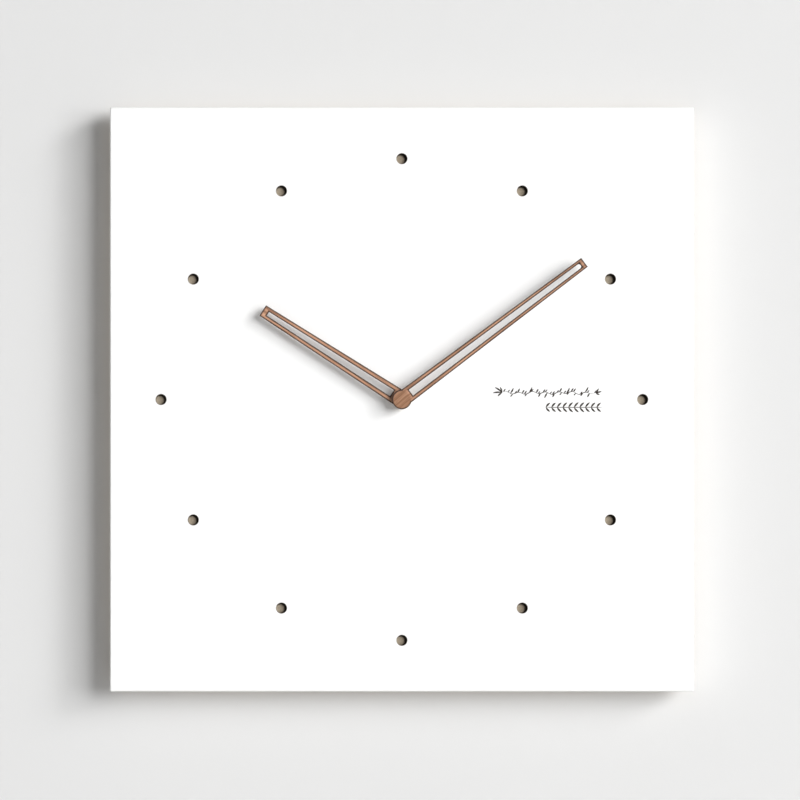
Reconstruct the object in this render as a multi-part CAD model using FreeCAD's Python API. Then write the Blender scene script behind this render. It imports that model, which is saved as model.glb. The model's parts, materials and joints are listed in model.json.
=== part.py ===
"""Square wall clock with an open-frame pair of wooden hands and a quartz movement.

The clock faces -Y, the wall is at +Y and +Z is up. Everything is modelled about
the hand arbor (x = z = 0) with y = 0 on the front face of the panel, and is
exported about the centre of the nail hole in the hanger. Units: millimetres.
"""
import math
import os

import FreeCAD, Part

Vector = FreeCAD.Vector

# ---------------------------------------------------------------- driving sizes
PANEL = 300.0               # side of the square panel
FRONT_T = 3.0               # white front sheet
BACKING_T = 9.0             # raw board behind it
EDGE_ROUND = 0.8            # eased front and side edges
NEAR = 0.01                 # tolerance for finding an edge by its place
DOT_CIRCLE_R = 123.7        # pitch radius of the twelve hour marks
DOT_R = 2.75
DOT_COUNT = 12
WINDOW = 62.0               # opening in the backing board for the movement
FOOT_T = 8.5                # bumper feet that stand the clock off the wall
FOOT_R = 10.0
FOOT_TAPER = 0.86
FOOT_EDGE_ROUND = 1.0
FOOT_INSET = 22.0           # foot centre from the panel's edge

HOUR_CLOCK_DEG = 302.6      # clockwise from twelve
MINUTE_CLOCK_DEG = 53.1
HOUR_LENGTH = 84.6
HOUR_WIDTHS = (8.8, 6.3)    # at the hub and at the tip
HOUR_SLOT_WIDTHS = (3.7, 2.2)
HOUR_SLOT_START = 6.0
HOUR_END_BAR = 3.1          # wood left between the slot and the tip
MINUTE_LENGTH = 116.8
MINUTE_WIDTHS = (8.2, 5.6)
MINUTE_SLOT_WIDTHS = (3.65, 2.4)
MINUTE_SLOT_START = 5.8
MINUTE_END_BAR = 2.4
HUB_R = 5.0
HAND_T = 1.8
HOUR_HAND_Y = -3.9          # rear faces of the two hands
MINUTE_HAND_Y = -7.0
MINUTE_BUSH_DEPTH = 1.0     # how far the bush is let into the hand, short of its front face

CASE = 56.0                 # side of the square movement case
CORNER_R = 2.0
GASKET_T = 0.5
GASKET_R = 11.0
HANGER_T = 0.6
CASE_FRONT = FRONT_T + GASKET_T + HANGER_T
CASE_REAR = 20.0
CASE_WALL = 1.4
CASE_FLOOR = 1.2            # thickness of the case's front wall
COVER_Y = 18.5              # front face of the rear cover
DIVIDER_Z = -12.0           # lower face of the wall above the battery bay
NOTCH_HALF = 9.0            # finger notch under the battery
NOTCH_Y = 13.5

BUSHING_R = 3.5
BUSHING_FRONT = -3.2
THREAD_CHAMFER = 0.3
FLANGE_R = 5.5              # the bushing's flange, inside the case
FLANGE_T = 0.4
WASHER_R = 4.8
WASHER_T = 0.5
NUT_T = 2.0
NUT_FLATS = 8.5
NUT_BEVEL = 0.6
HOUR_TUBE_R = 2.5
HOUR_BUSH_R = 3.2
MINUTE_SHAFT_R = 1.7
MINUTE_BUSH_R = 2.6
CENTRE_ARBOR_R = 0.55
SETTING_SHAFT_R = 1.2
POST_R = 0.7                # the fixed post the minute wheel turns on
TRAIN_ARBOR_R = 0.5
PIVOT_R = 0.3
RUNNING_GAP = 0.05          # radial clearance of every running fit
PAST = 1.0                  # how far a cutting shape runs past the faces it cuts

BATTERY_R = 7.1
BATTERY_SLEEVE_T = 0.15
BATTERY_LEFT = -24.65
BATTERY_LENGTH = 49.5       # without the 1 mm contact nub
BATTERY_NUB = 1.0
BATTERY_NUB_R = 2.75
BATTERY_Y = 12.5
BATTERY_Z = -19.3
CONTACT_T = 0.3             # thickness of the battery contacts' sheet
CONTACT_Y = (9.0, 16.0)
CONTACT_Z = (-22.5, -16.0)
RISER_Y = (13.0, 15.0)      # the positive contact's riser, through the divider
CONTACT_FOOT = 2.0          # length of the foot that lies on the circuit board
DIMPLE_R = 1.5
STRIP_Y = (15.7, 17.0)      # the long strip from the negative contact to the circuit
STRIP_FOOT_X = (19.0, 20.5)
LEAF_Z = (-21.8, -16.8)

HANGER_WIDTH = 14.0
HANGER_FOOT_Z = -9.0
HANGER_TAB_Y = 17.9         # middle plane of the tab that hangs on the nail
HANGER_TOP_Z = 44.5
NAIL_HOLE_R = 4.0
NAIL_HOLE_Z = 37.5
HANGER_BEND_Z = 29.4
HANGER_BEND_R = 1.0
HANGER_TAB_ROUND = 4.0

# ---------------------------------------------------------------- gear layout
CANNON_TEETH, MINUTE_WHEEL_TEETH, MOTION_MODULE = 12, 36, 0.5
MINUTE_PINION_TEETH, HOUR_WHEEL_TEETH, HOUR_MODULE = 10, 40, 0.48
SETTING_TEETH = 12
CENTRE_TEETH, THIRD_PINION_TEETH, TRAIN_MODULE = 64, 8, 0.25
THIRD_TEETH, SECONDS_PINION_TEETH = 60, 8
THIRD_MODULE = TRAIN_MODULE * (CENTRE_TEETH + THIRD_PINION_TEETH) / (THIRD_TEETH + SECONDS_PINION_TEETH)
SECONDS_TEETH, INTERMEDIATE_PINION_TEETH = 60, 10
INTERMEDIATE_TEETH, ROTOR_TEETH, ROTOR_MODULE = 60, 12, 0.2

MINUTE_WHEEL_DIRECTION = 125.0   # directions are counter-clockwise from +X
SETTING_DIRECTION = 150.0
THIRD_DIRECTION = 0.0
INTERMEDIATE_DIRECTION = 68.0
ROTOR_DIRECTION = 45.0


def from_point(point, distance, direction):
    """The point at a distance and direction (degrees) from another, in the X-Z plane."""
    angle = math.radians(direction)
    return (point[0] + distance * math.cos(angle), point[1] + distance * math.sin(angle))


def centre_distance(teeth_a, teeth_b, module):
    return (teeth_a + teeth_b) * module / 2


ARBOR = (0.0, 0.0)
MINUTE_WHEEL_AT = from_point(
    ARBOR, centre_distance(CANNON_TEETH, MINUTE_WHEEL_TEETH, MOTION_MODULE), MINUTE_WHEEL_DIRECTION)
SETTING_AT = from_point(
    MINUTE_WHEEL_AT, centre_distance(MINUTE_WHEEL_TEETH, SETTING_TEETH, MOTION_MODULE), SETTING_DIRECTION)
THIRD_AT = from_point(
    ARBOR, centre_distance(CENTRE_TEETH, THIRD_PINION_TEETH, TRAIN_MODULE), THIRD_DIRECTION)
INTERMEDIATE_AT = from_point(
    ARBOR, centre_distance(SECONDS_TEETH, INTERMEDIATE_PINION_TEETH, TRAIN_MODULE), INTERMEDIATE_DIRECTION)
ROTOR_AT = from_point(
    INTERMEDIATE_AT, centre_distance(INTERMEDIATE_TEETH, ROTOR_TEETH, ROTOR_MODULE), ROTOR_DIRECTION)

# layers of the movement, front to rear (y)
HOUR_TUBE_FRONT = HOUR_HAND_Y - HAND_T + 0.2
MINUTE_SHAFT_FRONT = MINUTE_HAND_Y - MINUTE_BUSH_DEPTH + 0.2
CASE_INNER = CASE_FRONT + CASE_FLOOR
HOUR_WHEEL_Y = (5.9, 6.8)
MINUTE_PINION_Y = (5.9, 7.4)
MINUTE_WHEEL_Y = (7.4, 8.4)
CANNON_Y = (7.2, 8.6)
CANNON_HUB_R = 1.6
CLUTCH_Y = 9.5              # front of the dished clutch spring
CLUTCH_RADII = (0.75, 1.5)
CLUTCH_RISE = 0.55
CLUTCH_T = 0.15
CENTRE_ARBOR_FRONT = 2.0
PLATE_Y = (9.0, 10.0)
PLATE_GAP = 0.2             # between the middle plate's edges and the case
PLATE_EYE_R = 2.0           # its hole around the centre arbors
CENTRE_WHEEL_Y = (10.3, 11.1)
THIRD_PINION_Y = (10.2, 11.6)
THIRD_WHEEL_Y = (12.0, 12.8)
SECONDS_PINION_Y = (11.6, 13.2)
SECONDS_WHEEL_Y = (13.4, 14.2)
INTERMEDIATE_PINION_Y = (13.2, 14.4)
INTERMEDIATE_WHEEL_Y = (14.8, 15.4)
ROTOR_PINION_Y = (14.6, 15.8)
MAGNET_Y = (15.9, 18.1)
MAGNET_R = 3.0
STATOR_Y = (16.4, 17.4)
STATOR_HALF = 4.5           # half the stator's width beside the rotor
STATOR_EYE_R = 3.5
BOARD_Y = (14.9, 15.7)
TRAIN_FRONT_Y = 10.1        # front shoulders of the train's arbors
ARBOR_END_Y = 17.5          # rear shoulders
END_PLAY = 0.1              # between a rear shoulder and its boss
PIVOT_LENGTHS = (0.7, 1.2)  # at the front and at the rear
SETTING_SEAT_REAR = 6.6
KNOB_Y = (18.2, 20.2)
KNOB_R = 7.6
KNOB_FLUTES = 24
FLUTE_R = 0.45
WELL_R = 8.2                # recess in the cover around the knob
WELL_FLOOR_Y = 17.8
PILLARS = [(-24.0, -7.5), (24.0, -7.5), (-24.0, 24.0), (24.0, 24.0)]
PILLAR_R = 1.5
BOSS_R = 1.2                # bosses inside the cover that hold the rear pivots
COIL_Y = 14.0
COIL_Z = 21.0
COIL_X = (2.0, 20.0)
CORE_R = 0.95               # half the side of the coil core's square bar
BOBBIN_R = 1.7
BOBBIN_BORE_R = 1.4
BOBBIN_FLANGE_R = 3.8
WINDING_R = 3.6
BOBBIN_FLANGE = 0.8
POLE_X = ((-1.5, 1.5), (20.5, 23.5))    # where the core's ends meet the stator's arms
POLE_REACH = 1.3
BOARD_X = (18.5, 26.2)
BOARD_Z = (-5.0, 15.0)
BLOB_AT = (23.0, 4.0)
BLOB_R = 2.0
BLOB_T = 0.6
BLOB_ROUND = 0.4
CRYSTAL_AT = (20.0, 0.5)
CRYSTAL_R = 0.8
CRYSTAL_LENGTH = 6.0


# ---------------------------------------------------------------- basic shapes
def block(x0, x1, y0, y1, z0, z1):
    return Part.makeBox(x1 - x0, y1 - y0, z1 - z0, Vector(x0, y0, z0))


def disc(radius, y0, y1, centre=ARBOR):
    """A cylinder along Y between two depths."""
    return Part.makeCylinder(radius, y1 - y0, Vector(centre[0], y0, centre[1]), Vector(0, 1, 0))


def ring(outer, inner, y0, y1, centre=ARBOR):
    return disc(outer, y0, y1, centre).cut(disc(inner, y0 - PAST, y1 + PAST, centre))


def rod_x(radius, x0, x1, y, z):
    """A cylinder along X."""
    return Part.makeCylinder(radius, x1 - x0, Vector(x0, y, z), Vector(1, 0, 0))


def joined(*shapes):
    whole = shapes[0]
    for shape in shapes[1:]:
        whole = whole.fuse(shape)
    return whole.removeSplitter()


def prism(points, y0, y1):
    """A flat outline of (x, z) points, as thick as y0 to y1."""
    corners = [Vector(x, y0, z) for x, z in points]
    outline = Part.makePolygon(corners + corners[:1])
    return Part.Face(outline).extrude(Vector(0, y1 - y0, 0))


def edges_along_y(shape):
    return [e for e in shape.Edges if abs(e.tangentAt(e.FirstParameter).y) > 0.9]


def rounded_path(points, radius, steps=5):
    """Replace each inner corner of a polyline by an arc of short runs."""
    path = [points[0]]
    for before, corner, after in zip(points, points[1:], points[2:]):
        incoming = math.atan2(corner[1] - before[1], corner[0] - before[0])
        outgoing = math.atan2(after[1] - corner[1], after[0] - corner[0])
        turn = (outgoing - incoming + math.pi) % (2 * math.pi) - math.pi
        setback = radius * math.tan(abs(turn) / 2)
        side = math.copysign(1.0, turn)
        start = (corner[0] - setback * math.cos(incoming), corner[1] - setback * math.sin(incoming))
        middle = (start[0] - side * radius * math.sin(incoming),
                  start[1] + side * radius * math.cos(incoming))
        for step in range(steps + 1):
            heading = incoming + turn * step / steps
            path.append((middle[0] + side * radius * math.sin(heading),
                         middle[1] - side * radius * math.cos(heading)))
    path.append(points[-1])
    return path


def strip_outline(points, thickness):
    """The closed outline of a strip whose middle line is the given path, with mitred corners."""
    left, right = [], []
    for index, (u, v) in enumerate(points):
        before = points[max(index - 1, 0)]
        after = points[min(index + 1, len(points) - 1)]
        first = math.atan2(v - before[1], u - before[0]) if index else None
        last = math.atan2(after[1] - v, after[0] - u) if index < len(points) - 1 else None
        if first is None:
            first = last
        if last is None:
            last = first
        turn = (last - first + math.pi) % (2 * math.pi) - math.pi
        normal = first + turn / 2 + math.pi / 2
        reach = thickness / 2 / math.cos(turn / 2)
        left.append((u + reach * math.cos(normal), v + reach * math.sin(normal)))
        right.append((u - reach * math.cos(normal), v - reach * math.sin(normal)))
    return left + right[::-1]


# ---------------------------------------------------------------- gears
PRESSURE = math.radians(20)
TOOTH_SHARE = 0.43          # of the pitch taken by a tooth; the rest is gap and backlash
ADDENDUM = 0.85             # in modules
DEDENDUM = 1.15


def involute(angle):
    return math.tan(angle) - angle


def gear_blank(teeth, module, phase):
    """The toothed outline of a gear as (radius, angle) pairs; phase is a tooth's direction."""
    pitch_r = teeth * module / 2
    base_r = pitch_r * math.cos(PRESSURE)
    root_r = pitch_r - DEDENDUM * module
    tip_r = pitch_r + ADDENDUM * module
    half_at_pitch = math.pi * TOOTH_SHARE / teeth

    def half_angle(radius):
        roll = math.acos(min(base_r / radius, 1.0))
        return half_at_pitch + involute(PRESSURE) - involute(roll)

    flank = [(root_r, half_angle(root_r))]
    if base_r > root_r:
        flank.append((base_r, half_angle(base_r)))
    flank.append((pitch_r, half_at_pitch))
    flank.append((tip_r, half_angle(tip_r)))
    outline = []
    for tooth in range(teeth):
        middle = phase + 2 * math.pi * tooth / teeth
        outline += [(radius, middle - half) for radius, half in flank]
        outline += [(radius, middle + half) for radius, half in reversed(flank)]
    return outline


def gear(teeth, module, layer, centre=ARBOR, phase=0.0):
    points = [(centre[0] + radius * math.cos(angle), centre[1] + radius * math.sin(angle))
              for radius, angle in gear_blank(teeth, module, phase)]
    return prism(points, *layer)


def meshing_phase(phase, teeth, mate_teeth, direction):
    """Phase of a mate that stands at a direction (degrees) from a gear, so a tooth faces a gap."""
    line = math.radians(direction)
    offset = (phase - line) * teeth / (2 * math.pi)
    return line + math.pi + (0.5 - offset) * 2 * math.pi / mate_teeth


def lightened(wheel, layer, centre, hole_r, at_r, count):
    """Round holes through a wheel's web."""
    for index in range(count):
        at = from_point(centre, at_r, 360.0 * index / count)
        wheel = wheel.cut(disc(hole_r, layer[0] - PAST, layer[1] + PAST, at))
    return wheel


# ---------------------------------------------------------------- panel and back
def front_panel():
    half = PANEL / 2
    panel = block(-half, half, 0, FRONT_T, -half, half)
    corners = edges_along_y(panel)
    panel = panel.makeFillet(EDGE_ROUND, corners)
    front_edges = [e for e in panel.Edges if e.BoundBox.YMax < NEAR]
    panel = panel.makeFillet(EDGE_ROUND, front_edges)
    for index in range(DOT_COUNT):
        at = from_point(ARBOR, DOT_CIRCLE_R, 360.0 * index / DOT_COUNT)
        panel = panel.cut(disc(DOT_R, -PAST, FRONT_T + PAST, at))
    return panel.cut(disc(BUSHING_R + RUNNING_GAP, -PAST, FRONT_T + PAST))


def backing_board():
    half = PANEL / 2
    board = block(-half, half, FRONT_T, FRONT_T + BACKING_T, -half, half)
    corners = edges_along_y(board)
    board = board.makeFillet(EDGE_ROUND, corners)
    window = WINDOW / 2
    return board.cut(block(-window, window, 0, CASE_REAR, -window, window))


def bumper_feet():
    reach = PANEL / 2 - FOOT_INSET
    rear = FRONT_T + BACKING_T
    rear_r = FOOT_R * FOOT_TAPER
    feet = []
    for x in (-reach, reach):
        for z in (-reach, reach):
            foot = Part.makeCone(FOOT_R, rear_r, FOOT_T, Vector(x, rear, z), Vector(0, 1, 0))
            rim = [e for e in foot.Edges if e.BoundBox.YMin > rear + FOOT_T - NEAR]
            feet.append(foot.makeFillet(FOOT_EDGE_ROUND, rim))
    return Part.makeCompound(feet)


def wall_hanger():
    front = FRONT_T + GASKET_T + HANGER_T / 2
    half = HANGER_WIDTH / 2
    path = rounded_path([(front, HANGER_FOOT_Z), (front, HANGER_BEND_Z), (HANGER_TAB_Y, HANGER_BEND_Z),
                         (HANGER_TAB_Y, HANGER_TOP_Z)], HANGER_BEND_R)
    corners = [Vector(-half, y, z) for y, z in strip_outline(path, HANGER_T)]
    strip = Part.Face(Part.makePolygon(corners + corners[:1])).extrude(Vector(HANGER_WIDTH, 0, 0))
    tab_top = [e for e in strip.Edges
               if e.BoundBox.ZMin > HANGER_TOP_Z - NEAR and e.BoundBox.XLength < NEAR]
    strip = strip.makeFillet(HANGER_TAB_ROUND, tab_top)
    strip = strip.cut(disc(BUSHING_R + RUNNING_GAP, front - PAST, front + PAST))
    return strip.cut(disc(NAIL_HOLE_R, HANGER_TAB_Y - PAST, HANGER_TAB_Y + PAST, (0, NAIL_HOLE_Z)))


def rubber_gasket():
    return ring(GASKET_R, BUSHING_R + RUNNING_GAP, FRONT_T, FRONT_T + GASKET_T)


def threaded_bushing():
    flange = disc(FLANGE_R, CASE_INNER, CASE_INNER + FLANGE_T)
    barrel = disc(BUSHING_R, BUSHING_FRONT, CASE_INNER)
    front_edge = [e for e in barrel.Edges if e.BoundBox.YMax < BUSHING_FRONT + NEAR]
    barrel = barrel.makeChamfer(THREAD_CHAMFER, front_edge)
    bore = disc(HOUR_TUBE_R + RUNNING_GAP, BUSHING_FRONT - PAST, CASE_INNER + PAST)
    return joined(flange, barrel).cut(bore)


def brass_washer():
    return ring(WASHER_R, BUSHING_R, -WASHER_T, 0)


def hex_nut():
    corner_r = NUT_FLATS / 2 / math.cos(math.radians(30))
    corners = [from_point(ARBOR, corner_r, 60.0 * index) for index in range(6)]
    front = -WASHER_T - NUT_T
    nut = prism(corners, front, -WASHER_T)
    bevel = Part.makeCone(corner_r - NUT_BEVEL, corner_r - NUT_BEVEL + NUT_T, NUT_T,
                          Vector(0, front, 0), Vector(0, 1, 0))
    return nut.common(bevel).cut(disc(BUSHING_R, front - PAST, 0))


# ---------------------------------------------------------------- hands
def hand_blank(length, widths, slot_start, slot_widths, end_bar, round_end, rear):
    """An open frame with a hub, pointing along +X from the arbor before it is turned."""
    front = rear - HAND_T
    near, far = widths[0] / 2, widths[1] / 2
    root = HUB_R / 2
    frame = prism([(root, -near), (length, -far), (length, far), (root, near)], front, rear)
    blank = joined(frame, disc(HUB_R, front, rear))
    slot_end = length - end_bar
    first, last = slot_widths[0] / 2, slot_widths[1] / 2
    straight_end = slot_end - last if round_end else slot_end
    slot = prism([(slot_start, -first), (straight_end, -last), (straight_end, last), (slot_start, first)],
                 front - PAST, rear + PAST)
    if round_end:
        slot = slot.fuse(disc(last, front - PAST, rear + PAST, (straight_end, 0)))
    return blank.cut(slot)


def turned_to(shape, clock_deg):
    """Turn a shape that points along +X to a clock direction."""
    turned = shape.copy()
    turned.rotate(Vector(0, 0, 0), Vector(0, 1, 0), clock_deg - 90.0)
    return turned


def hour_hand():
    blank = hand_blank(HOUR_LENGTH, HOUR_WIDTHS, HOUR_SLOT_START, HOUR_SLOT_WIDTHS, HOUR_END_BAR,
                       False, HOUR_HAND_Y)
    bore = disc(HOUR_BUSH_R, HOUR_HAND_Y - HAND_T - PAST, HOUR_HAND_Y + PAST)
    return turned_to(blank.cut(bore), HOUR_CLOCK_DEG)


def minute_hand():
    blank = hand_blank(MINUTE_LENGTH, MINUTE_WIDTHS, MINUTE_SLOT_START, MINUTE_SLOT_WIDTHS,
                       MINUTE_END_BAR, True, MINUTE_HAND_Y)
    recess = disc(MINUTE_BUSH_R, MINUTE_HAND_Y - MINUTE_BUSH_DEPTH, MINUTE_HAND_Y + PAST)
    return turned_to(blank.cut(recess), MINUTE_CLOCK_DEG)


def hour_hand_bush():
    collar = disc(HOUR_BUSH_R + 0.8, HOUR_HAND_Y, HOUR_HAND_Y + 0.4)
    sleeve = disc(HOUR_BUSH_R, HOUR_TUBE_FRONT, HOUR_HAND_Y)
    return joined(collar, sleeve).cut(disc(HOUR_TUBE_R, HOUR_TUBE_FRONT - PAST, HOUR_HAND_Y + PAST))


def minute_hand_bush():
    bush = disc(MINUTE_BUSH_R, MINUTE_HAND_Y - MINUTE_BUSH_DEPTH, MINUTE_HAND_Y + 1.0)
    return bush.cut(disc(MINUTE_SHAFT_R, MINUTE_SHAFT_FRONT, MINUTE_HAND_Y + 1.0 + PAST))


# ---------------------------------------------------------------- movement shell
def movement_case():
    half = CASE / 2
    inner = half - CASE_WALL
    case = block(-half, half, CASE_FRONT, CASE_REAR, -half, half)
    case = case.makeFillet(CORNER_R, edges_along_y(case))
    case = case.cut(block(-half, half, COVER_Y, CASE_REAR, DIVIDER_Z, half))
    gear_room = block(-inner, inner, CASE_INNER, CASE_REAR, DIVIDER_Z + CASE_WALL, inner)
    battery_bay = block(-inner, inner, CASE_INNER, CASE_REAR, -inner, DIVIDER_Z)
    finger_notch = block(-NOTCH_HALF, NOTCH_HALF, NOTCH_Y, CASE_REAR, -half, -inner)
    case = case.cut(gear_room).cut(battery_bay).cut(finger_notch)
    for x, z in PILLARS:
        case = case.fuse(disc(PILLAR_R, CASE_INNER, PLATE_Y[0], (x, z)))
    post = disc(POST_R, CASE_INNER, MINUTE_WHEEL_Y[1] + 0.3, MINUTE_WHEEL_AT)
    setting_seat = ring(SETTING_SHAFT_R + 1.0, SETTING_SHAFT_R + RUNNING_GAP, CASE_INNER,
                        SETTING_SEAT_REAR, SETTING_AT)
    case = case.fuse(post).fuse(setting_seat)
    case = case.cut(disc(BUSHING_R + RUNNING_GAP, CASE_FRONT - PAST, CASE_INNER + PAST))
    through_divider = (DIVIDER_Z - PAST, DIVIDER_Z + CASE_WALL + PAST)
    positive_slot = block(inner - CONTACT_T, inner, RISER_Y[0] - 0.1, RISER_Y[1] + 0.1, *through_divider)
    negative_slot = block(-inner, -inner + CONTACT_T, *STRIP_Y, *through_divider)
    return case.cut(positive_slot).cut(negative_slot)


def movement_cover():
    half = CASE / 2
    cover = block(-half, half, COVER_Y, CASE_REAR, DIVIDER_Z, half)
    top = [e for e in edges_along_y(cover) if e.BoundBox.ZMin > 0]
    cover = cover.makeFillet(CORNER_R, top)
    cover = cover.fuse(disc(WELL_R + 0.8, WELL_FLOOR_Y - 0.8, COVER_Y, SETTING_AT))
    cover = cover.cut(disc(WELL_R, WELL_FLOOR_Y, CASE_REAR + PAST, SETTING_AT))
    for x, z in PILLARS:
        cover = cover.fuse(disc(PILLAR_R, PLATE_Y[1], COVER_Y, (x, z)))
    for centre in (THIRD_AT, ARBOR, INTERMEDIATE_AT):
        cover = cover.fuse(disc(BOSS_R, ARBOR_END_Y + END_PLAY, COVER_Y, centre))
        cover = cover.cut(disc(PIVOT_R + RUNNING_GAP, ARBOR_END_Y, COVER_Y + 0.4, centre))
    cover = cover.cut(disc(PIVOT_R + RUNNING_GAP, COVER_Y - PAST, COVER_Y + 0.6, ROTOR_AT))
    return cover.cut(disc(SETTING_SHAFT_R + RUNNING_GAP, WELL_FLOOR_Y - 2 * PAST, CASE_REAR, SETTING_AT))


def middle_plate():
    half = CASE / 2 - CASE_WALL - PLATE_GAP
    cut_y = (PLATE_Y[0] - PAST, PLATE_Y[1] + PAST)
    plate = block(-half, half, *PLATE_Y, DIVIDER_Z + CASE_WALL + PLATE_GAP, half)
    plate = plate.cut(disc(PLATE_EYE_R, *cut_y))
    plate = plate.cut(disc(SETTING_SHAFT_R + RUNNING_GAP, *cut_y, SETTING_AT))
    for centre in (THIRD_AT, INTERMEDIATE_AT, ROTOR_AT):
        plate = plate.cut(disc(PIVOT_R + RUNNING_GAP, *cut_y, centre))
    return plate


# ---------------------------------------------------------------- motion work
CANNON_PHASE = 0.0
MINUTE_WHEEL_PHASE = meshing_phase(CANNON_PHASE, CANNON_TEETH, MINUTE_WHEEL_TEETH, MINUTE_WHEEL_DIRECTION)
SETTING_PHASE = meshing_phase(MINUTE_WHEEL_PHASE, MINUTE_WHEEL_TEETH, SETTING_TEETH, SETTING_DIRECTION)
HOUR_WHEEL_PHASE = meshing_phase(0.0, MINUTE_PINION_TEETH, HOUR_WHEEL_TEETH, MINUTE_WHEEL_DIRECTION + 180.0)


def minute_arbor():
    cannon = gear(CANNON_TEETH, MOTION_MODULE, CANNON_Y, ARBOR, CANNON_PHASE)
    hub = disc(CANNON_HUB_R, CANNON_Y[1], CLUTCH_Y)
    shaft = disc(MINUTE_SHAFT_R, MINUTE_SHAFT_FRONT, CANNON_Y[0])
    bore = disc(CENTRE_ARBOR_R + RUNNING_GAP, CENTRE_ARBOR_FRONT - 0.5, CLUTCH_Y + PAST)
    return joined(cannon, hub, shaft).cut(bore)


def minute_wheel():
    wheel = gear(MINUTE_WHEEL_TEETH, MOTION_MODULE, MINUTE_WHEEL_Y, MINUTE_WHEEL_AT, MINUTE_WHEEL_PHASE)
    wheel = lightened(wheel, MINUTE_WHEEL_Y, MINUTE_WHEEL_AT, 1.6, 5.6, 6)
    pinion = gear(MINUTE_PINION_TEETH, HOUR_MODULE, MINUTE_PINION_Y, MINUTE_WHEEL_AT, 0.0)
    bore = disc(POST_R + RUNNING_GAP, MINUTE_PINION_Y[0] - PAST, MINUTE_WHEEL_Y[1] + PAST, MINUTE_WHEEL_AT)
    return joined(wheel, pinion).cut(bore)


def hour_wheel():
    wheel = gear(HOUR_WHEEL_TEETH, HOUR_MODULE, HOUR_WHEEL_Y, ARBOR, HOUR_WHEEL_PHASE)
    tube = disc(HOUR_TUBE_R, HOUR_TUBE_FRONT, HOUR_WHEEL_Y[0])
    bore = disc(MINUTE_SHAFT_R + RUNNING_GAP, HOUR_TUBE_FRONT - PAST, HOUR_WHEEL_Y[1] + PAST)
    return joined(wheel, tube).cut(bore)


def setting_gear():
    wheel = gear(SETTING_TEETH, MOTION_MODULE, MINUTE_WHEEL_Y, SETTING_AT, SETTING_PHASE)
    return wheel.cut(disc(SETTING_SHAFT_R, MINUTE_WHEEL_Y[0] - PAST, MINUTE_WHEEL_Y[1] + PAST, SETTING_AT))


def setting_knob():
    knob = disc(KNOB_R, *KNOB_Y, SETTING_AT)
    for index in range(KNOB_FLUTES):
        flute_at = from_point(SETTING_AT, KNOB_R, 360.0 * index / KNOB_FLUTES)
        knob = knob.cut(disc(FLUTE_R, KNOB_Y[0] - PAST, KNOB_Y[1] + PAST, flute_at))
    shaft = disc(SETTING_SHAFT_R, SETTING_SEAT_REAR - 0.9, KNOB_Y[0], SETTING_AT)
    pointer = prism([from_point(SETTING_AT, reach, angle) for reach, angle in
                     ((5.6, 90.0), (3.6, 60.0), (3.6, 120.0))], KNOB_Y[1] - 0.4, KNOB_Y[1] + PAST)
    return joined(knob, shaft).cut(pointer)


def clutch_spring():
    """A small dished washer: the friction clutch between the train and the minute arbor."""
    inner, outer = CLUTCH_RADII
    dish = Part.makeCone(inner, outer, CLUTCH_RISE, Vector(0, CLUTCH_Y, 0), Vector(0, 1, 0))
    hollow = Part.makeCone(inner, outer, CLUTCH_RISE, Vector(0, CLUTCH_Y + CLUTCH_T, 0), Vector(0, 1, 0))
    return dish.cut(hollow).cut(disc(inner - RUNNING_GAP, CLUTCH_Y - PAST, CLUTCH_Y + PAST))


# ---------------------------------------------------------------- going train
CENTRE_PHASE = 0.0
THIRD_PINION_PHASE = meshing_phase(CENTRE_PHASE, CENTRE_TEETH, THIRD_PINION_TEETH, THIRD_DIRECTION)
SECONDS_PINION_PHASE = meshing_phase(0.0, THIRD_TEETH, SECONDS_PINION_TEETH, THIRD_DIRECTION + 180.0)
INTERMEDIATE_PINION_PHASE = meshing_phase(
    0.0, SECONDS_TEETH, INTERMEDIATE_PINION_TEETH, INTERMEDIATE_DIRECTION)
ROTOR_PHASE = meshing_phase(0.0, INTERMEDIATE_TEETH, ROTOR_TEETH, ROTOR_DIRECTION)


def centre_wheel():
    wheel = gear(CENTRE_TEETH, TRAIN_MODULE, CENTRE_WHEEL_Y, ARBOR, CENTRE_PHASE)
    wheel = lightened(wheel, CENTRE_WHEEL_Y, ARBOR, 1.5, 4.6, 6)
    hub = disc(BOSS_R, TRAIN_FRONT_Y, CENTRE_WHEEL_Y[1] + 0.2)
    arbor = disc(CENTRE_ARBOR_R, CENTRE_ARBOR_FRONT, TRAIN_FRONT_Y)
    pivot_hole = disc(PIVOT_R + RUNNING_GAP, TRAIN_FRONT_Y + 0.4, CENTRE_WHEEL_Y[1] + PAST)
    return joined(wheel, hub, arbor).cut(pivot_hole)


def train_arbor(radius, front, centre):
    """An arbor with a thin pivot at each end, running in the plate and the cover."""
    shaft = disc(radius, front, ARBOR_END_Y, centre)
    return shaft.fuse(disc(PIVOT_R, front - PIVOT_LENGTHS[0], ARBOR_END_Y + PIVOT_LENGTHS[1], centre))


def third_wheel():
    wheel = gear(THIRD_TEETH, THIRD_MODULE, THIRD_WHEEL_Y, THIRD_AT, 0.0)
    wheel = lightened(wheel, THIRD_WHEEL_Y, THIRD_AT, 1.5, 4.6, 6)
    pinion = gear(THIRD_PINION_TEETH, TRAIN_MODULE, THIRD_PINION_Y, THIRD_AT, THIRD_PINION_PHASE)
    return joined(wheel, pinion, train_arbor(TRAIN_ARBOR_R, TRAIN_FRONT_Y, THIRD_AT))


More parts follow.
